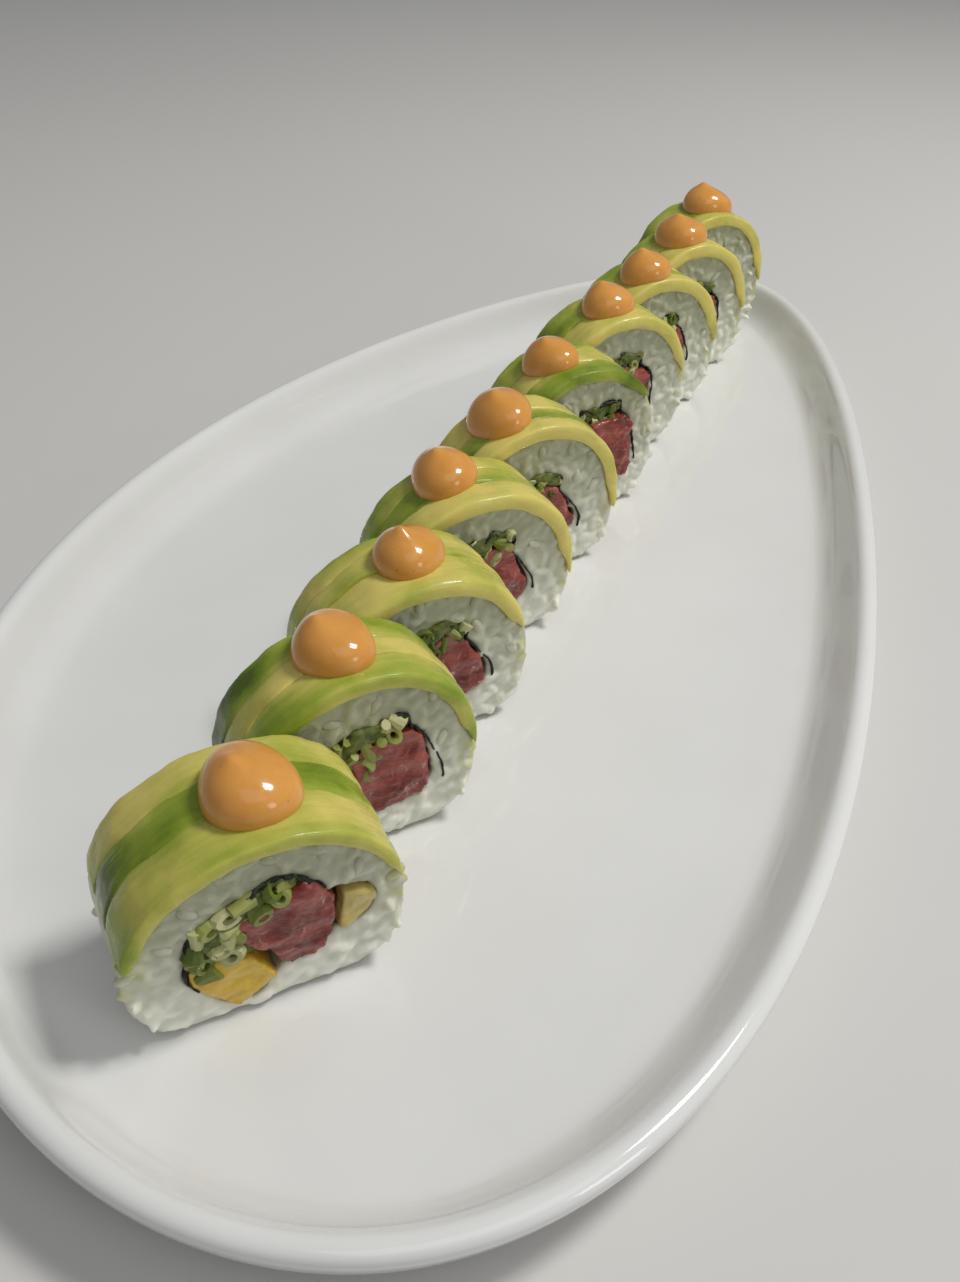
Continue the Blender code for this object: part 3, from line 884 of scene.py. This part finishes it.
def avocado_finish():
    f = Finish("avocado_flesh", 0.3, Subsurface_Weight=0.15, Subsurface_Scale=0.0015, Coat_Weight=0.14,
               Coat_Roughness=0.12, Specular_IOR_Level=0.25)
    f.shader.inputs["Subsurface Radius"].default_value = (1.0, 1.0, 0.3)
    own = f.attribute("own", "Vector")
    mottle = f.math("MULTIPLY", f.math("SUBTRACT", f.noise(90, 5), 0.5), 1.1)
    streak = f.math("MULTIPLY", f.math("SUBTRACT", f.noise(0.8, 3, own, (0.10, 1.0, 1.0)), 0.5), 0.30)
    broad = f.math("MULTIPLY", f.math("SUBTRACT", f.noise(38, 2), 0.5), 0.45)
    skin = f.math("ADD", f.attribute("skin"), f.math("ADD", f.math("ADD", mottle, broad), streak), clamp=True)
    f.colour(f.ramp(skin, (0.05, (0.70, 0.60, 0.16)), (0.30, (0.52, 0.50, 0.10)), (0.58, (0.30, 0.38, 0.04)),
                    (0.85, (0.17, 0.25, 0.015)), (1.0, (0.09, 0.14, 0.008))))
    f.bump(f.noise(1.0, 4, own, (0.30, 1.8, 1.0)), 0.4, 0.3)
    f.roughness(f.ramp(f.noise(400, 3), (0.3, (0.16,) * 3), (0.7, (0.40,) * 3)))
    return f.material


def sauce_finish():
    f = Finish("orange_sauce", 0.16, Subsurface_Weight=0.25, Subsurface_Scale=0.002, Coat_Weight=0.35,
               Coat_Roughness=0.05)
    f.shader.inputs["Subsurface Radius"].default_value = (1.0, 0.5, 0.2)
    plain = f.ramp(f.noise(250, 3), (0.3, (0.70, 0.31, 0.06)), (0.7, (0.76, 0.37, 0.09)))
    specks = f.node("TexVoronoi")
    specks.inputs["Scale"].default_value = 420
    f.link(f.place, specks.inputs["Vector"])
    speck = f.ramp(specks.outputs["Distance"], (0.06, (1,) * 3), (0.12, (0,) * 3))
    sparse = f.ramp(f.noise(500, 1), (0.52, (0,) * 3), (0.60, (1,) * 3))
    f.colour(f.mix(f.math("MULTIPLY", f.math("MULTIPLY", speck, sparse), 0.7), plain, (0.40, 0.10, 0.02)))
    f.bump(f.noise(700, 2), 0.05, 0.2)
    return f.material


def tuna_finish():
    f = Finish("raw_tuna", 0.26, Subsurface_Weight=0.2, Subsurface_Scale=0.0012, Coat_Weight=0.15,
               Coat_Roughness=0.15)
    f.shader.inputs["Subsurface Radius"].default_value = (1.0, 0.3, 0.25)
    own = f.attribute("own", "Vector")
    shade = f.noise(0.22, 4, own, (0.6, 0.8, 1.3))
    flesh = f.ramp(shade, (0.34, (0.13, 0.014, 0.010)), (0.50, (0.25, 0.042, 0.030)),
                   (0.68, (0.38, 0.10, 0.075)))
    fibre = f.math("SUBTRACT", f.noise(1.3, 3, own, (0.40, 1.0, 2.4)), 0.48, True)
    flesh = f.mix(f.math("MULTIPLY", fibre, 1.1), flesh, (0.50, 0.22, 0.18))
    sinew = f.node("TexVoronoi", feature="DISTANCE_TO_EDGE")
    sinew.inputs["Scale"].default_value = 0.13
    wander = f.node("TexNoise")
    wander.inputs["Scale"].default_value = 0.22
    f.link(own, wander.inputs["Vector"])
    far = f.node("VectorMath", operation="SCALE")
    far.inputs["Scale"].default_value = 7.0
    f.link(wander.outputs["Color"], far.inputs[0])
    bent = f.node("VectorMath", operation="ADD")
    f.link(own, bent.inputs[0])
    f.link(far.outputs["Vector"], bent.inputs[1])
    f.link(bent.outputs["Vector"], sinew.inputs["Vector"])
    line = f.ramp(sinew.outputs["Distance"], (0.0, (1,) * 3), (0.04, (0,) * 3))
    seen = f.ramp(f.noise(0.25, 1, own), (0.55, (0,) * 3), (0.65, (0.45,) * 3))
    f.colour(f.mix(f.math("MULTIPLY", line, seen), flesh, (0.58, 0.36, 0.32)))
    f.bump(f.noise(0.9, 4, own, (0.5, 1.0, 3.0)), 0.4, 0.3)
    return f.material


def fruit_finish(name, pale, deep):
    f = Finish(name, 0.3, Subsurface_Weight=0.2, Subsurface_Scale=0.002, Coat_Weight=0.3, Coat_Roughness=0.12)
    f.shader.inputs["Subsurface Radius"].default_value = (1.0, 0.7, 0.2)
    own = f.attribute("own", "Vector")
    f.colour(f.ramp(f.noise(0.5, 4, own, (0.8, 0.8, 2.0)), (0.3, deep), (0.7, pale)))
    f.bump(f.noise(1.2, 3, own), 0.3, 0.3)
    return f.material


def bits_finish():
    f = Finish("chopped_bits", 0.35, Subsurface_Weight=0.15, Subsurface_Scale=0.001)
    tone = f.math("MULTIPLY", f.attribute("tone"), 0.8)
    shade = f.math("ADD", tone, f.math("MULTIPLY", f.noise(600, 2), 0.2))
    f.colour(f.ramp(shade, (0.10, (0.05, 0.09, 0.012)), (0.35, (0.17, 0.21, 0.03)),
                    (0.60, (0.34, 0.36, 0.10)), (0.85, (0.54, 0.54, 0.29))))
    f.bump(f.noise(1500, 2), 0.2, 0.2)
    return f.material


def plain_finish(name, pale, deep, roughness, scale):
    f = Finish(name, roughness)
    f.colour(f.ramp(f.noise(scale, 3), (0.3, deep), (0.7, pale)))
    f.bump(f.noise(scale * 3, 3), 0.3, 0.2)
    return f.material


# Building

LUMPS = clouds("lumps", 2.4)
FINE = clouds("fine", 0.9)
SOFT = clouds("soft", 6.0)
TORN = bpy.data.textures.new("torn", "VORONOI")
TORN.noise_scale = 5.0 * MM

PORCELAIN = glazed_porcelain()
RICE = rice_finish()
AVOCADO = avocado_finish()
SAUCE = sauce_finish()
TUNA = tuna_finish()
MANGO = fruit_finish("ripe_mango", (0.74, 0.51, 0.07), (0.62, 0.38, 0.025))
PALE_MANGO = fruit_finish("pale_mango", (0.64, 0.53, 0.19), (0.53, 0.41, 0.10))
GREENS = plain_finish("chopped_greens", (0.17, 0.19, 0.035), (0.05, 0.075, 0.012), 0.4, 700)
BITS_GREEN = bits_finish()
BITS = bit_shapes()
SEAWEED = plain_finish("dark_seaweed", (0.02, 0.025, 0.018), (0.008, 0.010, 0.008), 0.5, 300)

plate = solid_copy("plate", "porcelain_plate")
subdivided(plate, 2)
smooth(plate)
placed(plate, "plate", PORCELAIN)

for number, roll in enumerate(ROLLS, 1):
    fillings = ["%s_%02d" % (kind, number) for kind in ("tuna", "greens")]
    if number == 1:
        fillings += ["mango_01", "pale_mango_01"]
    make_rice(number, roll, fillings, RICE)
    make_seaweed(number, roll, fillings, SEAWEED)
    make_avocado(number, roll, AVOCADO)
    make_dollop(number, roll, SAUCE)
    make_block(number, roll, "tuna", TUNA, 0.8)
    make_block(number, roll, "greens", GREENS, 0.7)
    bits = bit_spots(roll, outline_of(roll, "greens_%02d" % number), number)
    if number == 1:
        bits = np.concatenate([bits, STRAY_BITS])
    make_bits(number, roll, bits, BITS_GREEN)
make_block(1, ROLLS[0], "mango", MANGO, 0.6)
make_block(1, ROLLS[0], "pale_mango", PALE_MANGO, 0.6)


# Floor, light and camera

def area_light(name, at, size, energy, colour=(1.0, 1.0, 1.0)):
    light = bpy.data.lights.new(name, "AREA")
    light.shape = "RECTANGLE"
    light.size, light.size_y = size
    light.energy = energy
    light.color = colour
    obj = bpy.data.objects.new(name, light)
    bpy.context.scene.collection.objects.link(obj)
    obj.location = at
    obj.rotation_euler = (-obj.location).to_track_quat("-Z", "Y").to_euler()


bpy.ops.object.select_all(action="DESELECT")
bpy.ops.mesh.primitive_plane_add(size=6.0)
floor = named(bpy.context.object, "floor")
floor.data.materials.append(plain_finish("pale_floor", (0.66, 0.65, 0.63), (0.64, 0.63, 0.61), 0.7, 3))

world = bpy.data.worlds.new("soft_room")
bpy.context.scene.world = world
world.use_nodes = True
world.node_tree.nodes["Background"].inputs["Color"].default_value = (0.93, 0.96, 1.0, 1.0)
world.node_tree.nodes["Background"].inputs["Strength"].default_value = 0.21

area_light("key", (0.55, 0.30, 1.08), (0.26, 0.26), 9.2, (1.0, 0.98, 0.94))
area_light("overhead", (0.45, -0.45, 1.1), (0.9, 0.7), 1.7)
area_light("window", (0.80, -0.33, 0.32), (0.22, 0.30), 0.8)

pitch, tilt = math.radians(CAMERA_PITCH), math.radians(CAMERA_ROLL)
heading = np.array([*CAMERA_HEADING, 0.0])
sideways = np.array([CAMERA_HEADING[1], -CAMERA_HEADING[0], 0.0])
upright = heading * math.sin(pitch) + np.array([0.0, 0.0, math.cos(pitch)])
ahead = heading * math.cos(pitch) - np.array([0.0, 0.0, math.sin(pitch)])
right = math.cos(tilt) * sideways + math.sin(tilt) * upright
up = -math.sin(tilt) * sideways + math.cos(tilt) * upright
camera = bpy.data.objects.new("camera", bpy.data.cameras.new("camera"))
bpy.context.scene.collection.objects.link(camera)
camera.data.sensor_width = SENSOR
camera.data.lens = FOCAL_PIXELS / PICTURE_HEIGHT * SENSOR
camera.data.clip_start = 0.01
rows = [[right[k], up[k], -ahead[k], CAMERA_AT[k] * MM] for k in range(3)]
camera.matrix_world = Matrix(rows + [[0, 0, 0, 1]])
bpy.context.scene.camera = camera
bpy.context.scene.view_settings.view_transform = "Standard"
